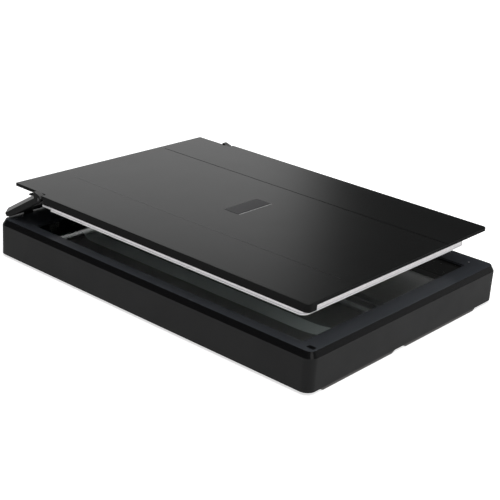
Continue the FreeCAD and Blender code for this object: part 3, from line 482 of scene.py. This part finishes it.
def make_materials():
    """Give every CAD node its material, and return the surfaces by node."""
    tray = moulded("tray_black", (0.040, 0.037, 0.034), 0.5, grain=0.6, depth=0.04, specular=0.4)
    steel = metal("bracket_steel", (0.56, 0.56, 0.57), 0.32, grain=(1, 6, 1))
    screw = metal("screw_steel", (0.5, 0.5, 0.52), 0.3, grain=(3, 3, 1))
    white = moulded("glide_white", (0.72, 0.7, 0.66), 0.4, grain=0.5, depth=0.02)
    carriage = moulded("carriage_black", (0.022, 0.022, 0.023), 0.5, grain=0.5, depth=0.03)
    hinge = hinge_material()
    glass = glass_material()
    chip = moulded("chip_black", (0.012, 0.012, 0.013), 0.5, grain=0.2, depth=0.02)
    pulley = moulded("pulley_black", (0.02, 0.02, 0.021), 0.45, grain=0.3, depth=0.02)
    lens = moulded("lens_black", (0.0008, 0.0008, 0.0010), 0.6, grain=2.0, depth=0.001, specular=0.05)
    badge = moulded("badge_grey", (0.038, 0.038, 0.040), 0.36, grain=0.3, depth=0.006, specular=0.1)
    surfaces = {
        "top_cover": top_cover_material(),
        "bottom_tray": tray,
        "rubber_feet": rubber_material("foot_rubber", (0.03, 0.03, 0.031)),
        "tray_screws": screw,
        "scan_glass": glass,
        "calibration_strip": sheet_material("calibration_white", (0.82, 0.82, 0.81), 0.6),
        "indicator_lens": lens,
        "status_led": moulded("led_clear", (0.7, 0.73, 0.76), 0.3, grain=0.5, depth=0.01),
        "bezel_mark": moulded("mark_grey", (0.25, 0.25, 0.26), 0.4, grain=0.3, depth=0.01),
        "hinge_posts": hinge,
        "cover_bridge": hinge,
        "hinge_axles": metal("pin_steel", (0.55, 0.55, 0.56), 0.25, grain=(1, 8, 8)),
        "usb_port": metal("socket_metal", (0.62, 0.61, 0.58), 0.28, grain=(1, 5, 1)),
        "guide_rod": metal("rod_steel", (0.66, 0.66, 0.68), 0.14, grain=(6, 1, 6)),
        "rod_clips": tray,
        "motor": metal("motor_steel", (0.5, 0.5, 0.52), 0.34, grain=(1, 1, 5)),
        "motor_bracket": steel,
        "idler_bracket": steel,
        "bracket_screws": screw,
        "board_screws": screw,
        "drive_belt": rubber_material("belt_rubber", (0.018, 0.018, 0.018)),
        "drive_pulley": pulley,
        "idler_pulley": pulley,
        "main_board": board_material(),
        "board_components": chip,
        "ribbon_cable": ribbon_material(),
        "carriage_frame": carriage,
        "cis_module": moulded("module_black", (0.013, 0.013, 0.0135), 0.6, grain=0.4, depth=0.03),
        "cis_window": glass,
        "glide_pads": white,
        "module_springs": metal("spring_steel", (0.55, 0.55, 0.55), 0.3),
        "rod_bush": white,
        "belt_clamp": carriage,
        "pivot_pins": metal("pivot_steel", (0.06, 0.06, 0.062), 0.3, grain=(1, 8, 8)),
        "lid_shell": lid_material(),
        "lid_badge": badge,
        "badge_line": metal("line_silver", (0.6, 0.6, 0.6), 0.3, grain=(6, 1, 1)),
        "pad_card": sheet_material("card_grey", (0.33, 0.33, 0.34), 0.8),
        "pad_foam": foam_material(),
        "document_mat": sheet_material("mat_white", (0.84, 0.84, 0.85), 0.45),
    }
    for node, surface in surfaces.items():
        wear(node, surface)
    return surfaces


# ---------------------------------------------------------------- rounded edges

# The CAD nodes whose edges are rounded, with the width of the rounding in millimetres.
SOFTENED = {
    "top_cover": 0.45,
    "lid_shell": 0.3,
    "cover_bridge": 0.4,
    "hinge_posts": 0.4,
    "bottom_tray": 0.4,
    "lid_badge": 0.15,
    "carriage_frame": 0.3,
    "cis_module": 0.3,
    "motor_bracket": 0.2,
    "motor": 0.3,
    "board_components": 0.2,
    "usb_port": 0.2,
    "rod_clips": 0.2,
    "belt_clamp": 0.2,
}


def joined_mesh_nodes():
    """Modifier nodes that join a mesh's split corners and shade it smooth."""
    tree = bpy.data.node_groups.new("join_and_smooth", "GeometryNodeTree")
    tree.interface.new_socket("Geometry", in_out="INPUT", socket_type="NodeSocketGeometry")
    tree.interface.new_socket("Geometry", in_out="OUTPUT", socket_type="NodeSocketGeometry")
    merge = tree.nodes.new("GeometryNodeMergeByDistance")
    merge.inputs["Distance"].default_value = 0.002 * MM
    shade_smooth = tree.nodes.new("GeometryNodeSetShadeSmooth")
    tree.links.new(tree.nodes.new("NodeGroupInput").outputs[0], merge.inputs["Geometry"])
    tree.links.new(merge.outputs[0], shade_smooth.inputs["Geometry"])
    tree.links.new(shade_smooth.outputs[0], tree.nodes.new("NodeGroupOutput").inputs[0])
    return tree


def soften(node, width, join):
    """Round a CAD node's sharp edges a little, the way a moulded or machined edge is."""
    piece = NODES[node]
    piece.modifiers.new("join", "NODES").node_group = join
    flat = piece.modifiers.new("flat", "DECIMATE")
    flat.decimate_type = "DISSOLVE"
    flat.angle_limit = math.radians(0.5)
    bevel = piece.modifiers.new("bevel", "BEVEL")
    bevel.width = width
    bevel.segments = 2
    bevel.limit_method = "ANGLE"
    bevel.angle_limit = math.radians(24)
    bevel.miter_outer = "MITER_ARC"
    normals = piece.modifiers.new("normals", "WEIGHTED_NORMAL")
    normals.mode = "FACE_AREA_WITH_ANGLE"
    normals.keep_sharp = False


# ---------------------------------------------------------------- pieces made here


def new_piece(name, mesh, surface, body, *stands_for):
    """Add a finished mesh to the scene, riding on a body in place of CAD nodes."""
    piece = bpy.data.objects.new(name, mesh)
    bpy.context.scene.collection.objects.link(piece)
    piece.data.materials.append(surface.material)
    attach(piece, body)
    if stands_for:
        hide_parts(*stands_for)
    return piece


def smooth(mesh, angle):
    """Shade smooth, with edges sharper than the angle kept sharp."""
    for polygon in mesh.polygons:
        polygon.use_smooth = True
    mesh.set_sharp_from_angle(angle=math.radians(angle))


def join_rings(bm, rings):
    """Faces between each closed ring of vertices and the next."""
    for ring, following in zip(rings, rings[1:]):
        for index in range(len(ring)):
            ahead = (index + 1) % len(ring)
            bm.faces.new((ring[index], ring[ahead], following[ahead], following[index]))


def cap_rings(bm, rings):
    """A face over each end of a stack of rings."""
    bm.faces.new(list(reversed(rings[0])))
    bm.faces.new(rings[-1])


def finished_mesh(bm, name, angle):
    """The mesh made in bm, shaded smooth."""
    mesh = bpy.data.meshes.new(name)
    bm.to_mesh(mesh)
    bm.free()
    smooth(mesh, angle)
    return mesh


# The inner corner, in x and y, of the step cut from the foam's rear left beside the left pivot.
FOAM_NOTCH = (-112.6 * MM, 122 * MM)
FOAM_CORNER = 6 * MM
OUTLINE_SPACING = 3 * MM

# The foam's cut edges: their bulge at mid height, tuck at the top and foot, inset all over, and ripple.
FOAM_BULGE = 0.35 * MM
FOAM_TUCK = 0.4 * MM
FOAM_INSET = 0.2 * MM
FOAM_RIPPLE = 0.12 * MM


def foam_outline(low, high):
    """Points around the foam: a rectangle with round corners and a notch at the rear left."""
    notch_x, notch_y = FOAM_NOTCH
    corners = [
        Vector((low[0], low[1])),
        Vector((high[0], low[1])),
        Vector((high[0], high[1])),
        Vector((notch_x, high[1])),
        Vector((notch_x, notch_y)),
        Vector((low[0], notch_y)),
    ]
    steps = 8
    points = []
    for index, corner in enumerate(corners):
        before, after = corners[index - 1], corners[(index + 1) % len(corners)]
        back, ahead = (before - corner).normalized(), (after - corner).normalized()
        gap = (after - corner).length
        reach = min(FOAM_CORNER, (before - corner).length * 0.4, gap * 0.4)
        centre = corner + (back + ahead) * reach
        for step in range(steps + 1):
            turn = math.pi / 2 * step / steps
            points.append(centre - ahead * reach * math.cos(turn) - back * reach * math.sin(turn))
        count = int(gap / OUTLINE_SPACING)
        for step in range(1, count):
            along = corner + ahead * gap * step / count
            if (along - corner).length > reach * 1.2 and (along - after).length > FOAM_CORNER * 1.2:
                points.append(along)
    return points


def foam_piece(surface):
    """The lid's foam pad: its cut edges bulge a little between the card and the mat, and ripple finely."""
    low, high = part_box("pad_foam")
    outline = foam_outline(low, high)
    levels = 9
    bm = bmesh.new()
    rings = []
    for level in range(levels):
        share = level / (levels - 1)
        bulge = FOAM_BULGE * math.sin(math.pi * share) - FOAM_TUCK * (2 * share - 1) ** 8 - FOAM_INSET
        height = low[2] + (high[2] - low[2]) * share
        ring = []
        for index, point in enumerate(outline):
            before, after = outline[index - 1], outline[(index + 1) % len(outline)]
            along = (after - before).normalized()
            outward = Vector((along.y, -along.x))
            ripple = FOAM_RIPPLE * noise.noise(Vector((point.x, point.y, height)) * 160)
            place = point + outward * (bulge + ripple)
            ring.append(bm.verts.new((place.x, place.y, height)))
        rings.append(ring)
    join_rings(bm, rings)
    cap_rings(bm, rings)
    pad = new_piece("foam_pad", finished_mesh(bm, "foam_pad", 50), surface, "lid", "pad_foam")
    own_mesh(pad)


# The belt's pitch, the thickness of its band, and the depth and shape of its teeth.
# Each point of the shape is a share of the pitch and a depth there.
BELT_PITCH = 2 * MM
BELT_BAND = 0.65 * MM
TOOTH = 0.35 * MM
TOOTH_SHAPE = ((0.0, 0.0), (0.30, 0.0), (0.38, TOOTH), (0.72, TOOTH), (0.80, 0.0))


def belt_place(distance, run, around):
    """A belt's place at a distance along its loop: a pulley, how far behind its middle, and outward."""
    if distance < run:
        return "front", distance, Vector((1, 0))
    if distance < run + around:
        turn = (distance - run) / around * math.pi
        return "rear", 0.0, Vector((math.cos(turn), math.sin(turn)))
    if distance < 2 * run + around:
        return "rear", -(distance - run - around), Vector((-1, 0))
    turn = math.pi + (distance - 2 * run - around) / around * math.pi
    return "front", 0.0, Vector((math.cos(turn), math.sin(turn)))


def belt_piece(surface):
    """A toothed belt around both pulleys: a flat band with teeth on its inner side."""
    low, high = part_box("drive_belt")
    front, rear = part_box("idler_pulley"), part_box("drive_pulley")
    pulleys = {"front": (front[0][1] + front[1][1]) / 2, "rear": (rear[0][1] + rear[1][1]) / 2}
    middle_x = (low[0] + high[0]) / 2
    outer = (high[0] - low[0]) / 2
    inner = outer - BELT_BAND
    run = pulleys["rear"] - pulleys["front"]
    around = math.pi * (inner + outer) / 2
    loop = 2 * run + 2 * around
    teeth = round(loop / BELT_PITCH)
    bm = bmesh.new()
    rings = []
    for tooth in range(teeth):
        for part, depth in TOOTH_SHAPE:
            pulley, offset, outward = belt_place((tooth + part) / teeth * loop, run, around)
            place = Vector((middle_x, pulleys[pulley] + offset))
            edge_out = place + outward * outer
            edge_in = place + outward * (inner - depth)
            corners = ((edge_out, low[2]), (edge_out, high[2]), (edge_in, high[2]), (edge_in, low[2]))
            rings.append([bm.verts.new((edge.x, edge.y, height)) for edge, height in corners])
    join_rings(bm, rings + rings[:1])
    bmesh.ops.recalc_face_normals(bm, faces=bm.faces)
    new_piece("toothed_belt", finished_mesh(bm, "toothed_belt", 30), surface, "base", "drive_belt")


def spring_pieces(surface):
    """The two coil springs that press the sensor up against the glass."""
    low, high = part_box("module_springs")
    radius = (high[1] - low[1]) / 2
    centre_y = (low[1] + high[1]) / 2
    wire = 0.28 * MM
    reach = radius - wire
    turns, steps = 5, 20
    for letter, x in (("a", low[0] + radius), ("b", high[0] - radius)):
        curve = bpy.data.curves.new("coil", "CURVE")
        curve.dimensions = "3D"
        curve.bevel_depth = wire
        curve.bevel_resolution = 3
        curve.use_fill_caps = True
        spline = curve.splines.new("POLY")
        spline.points.add(turns * steps)
        for step, point in enumerate(spline.points):
            share = step / (turns * steps)
            turn = 2 * math.pi * turns * share
            rise = low[2] + wire + (high[2] - low[2] - 2 * wire) * share
            point.co = (x + reach * math.cos(turn), centre_y + reach * math.sin(turn), rise, 1.0)
        holder = bpy.data.objects.new("coil", curve)
        mesh = bpy.data.meshes.new_from_object(holder)
        smooth(mesh, 60)
        bpy.data.objects.remove(holder)
        replaced = ("module_springs",) if letter == "a" else ()
        new_piece("coil_spring_" + letter, mesh, surface, "carriage", *replaced)


def bent_path(corners, radius):
    """A run of (y, z) points through the corners, with each bend rounded."""
    steps = 6
    corners = [Vector(corner) for corner in corners]
    path = [corners[0]]
    for before, corner, after in zip(corners, corners[1:], corners[2:]):
        back, ahead = before - corner, after - corner
        reach = min(radius, back.length * 0.45, ahead.length * 0.45)
        start, end = corner + back.normalized() * reach, corner + ahead.normalized() * reach
        for step in range(steps + 1):
            share = step / steps
            path.append(start.lerp(corner, share).lerp(corner.lerp(end, share), share))
    return path + [corners[-1]]


RIBBON_THICKNESS = 0.3 * MM
RIBBON_BEND = 12 * MM


def ribbon_piece(surface):
    """The carriage's flat cable: ridges over its conductors, laid in one fixed shape with rounded bends."""
    low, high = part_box("ribbon_cable")
    rear, front, foot = high[1], low[1], low[2]
    corners = [
        (rear, foot + 6 * MM),
        (rear - 4.2 * MM, foot + 6 * MM),
        (rear - 11.2 * MM, foot),
        (front + 34.6 * MM, foot),
        (front, high[2] - RIBBON_THICKNESS),
    ]
    path = bent_path(corners, RIBBON_BEND)
    count = round((high[0] - low[0]) / (CONDUCTOR_PITCH / 8))
    bm = bmesh.new()
    rings = []
    for index, point in enumerate(path):
        along = (path[min(index + 1, len(path) - 1)] - path[max(index - 1, 0)]).normalized()
        upward = Vector((along.y, -along.x))
        lower, upper = [], []
        for place in range(count + 1):
            x = low[0] + (high[0] - low[0]) * place / count
            ridge = max(0.0, math.sin(2 * math.pi * x / CONDUCTOR_PITCH))
            top = point + upward * RIBBON_THICKNESS * (0.75 + 0.25 * ridge)
            lower.append(bm.verts.new((x, point.x, point.y)))
            upper.append(bm.verts.new((x, top.x, top.y)))
        rings.append(lower + list(reversed(upper)))
    join_rings(bm, rings)
    cap_rings(bm, rings)
    bmesh.ops.recalc_face_normals(bm, faces=bm.faces)
    ribbon = new_piece("flat_ribbon", finished_mesh(bm, "flat_ribbon", 50), surface, "base", "ribbon_cable")
    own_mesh(ribbon)


# ---------------------------------------------------------------- the scene

make_camera()
make_stage()
surfaces = make_materials()
join = joined_mesh_nodes()
for node, width in SOFTENED.items():
    soften(node, width * MM, join)
foam_piece(surfaces["pad_foam"])
belt_piece(surfaces["drive_belt"])
spring_pieces(surfaces["module_springs"])
ribbon_piece(surfaces["ribbon_cable"])
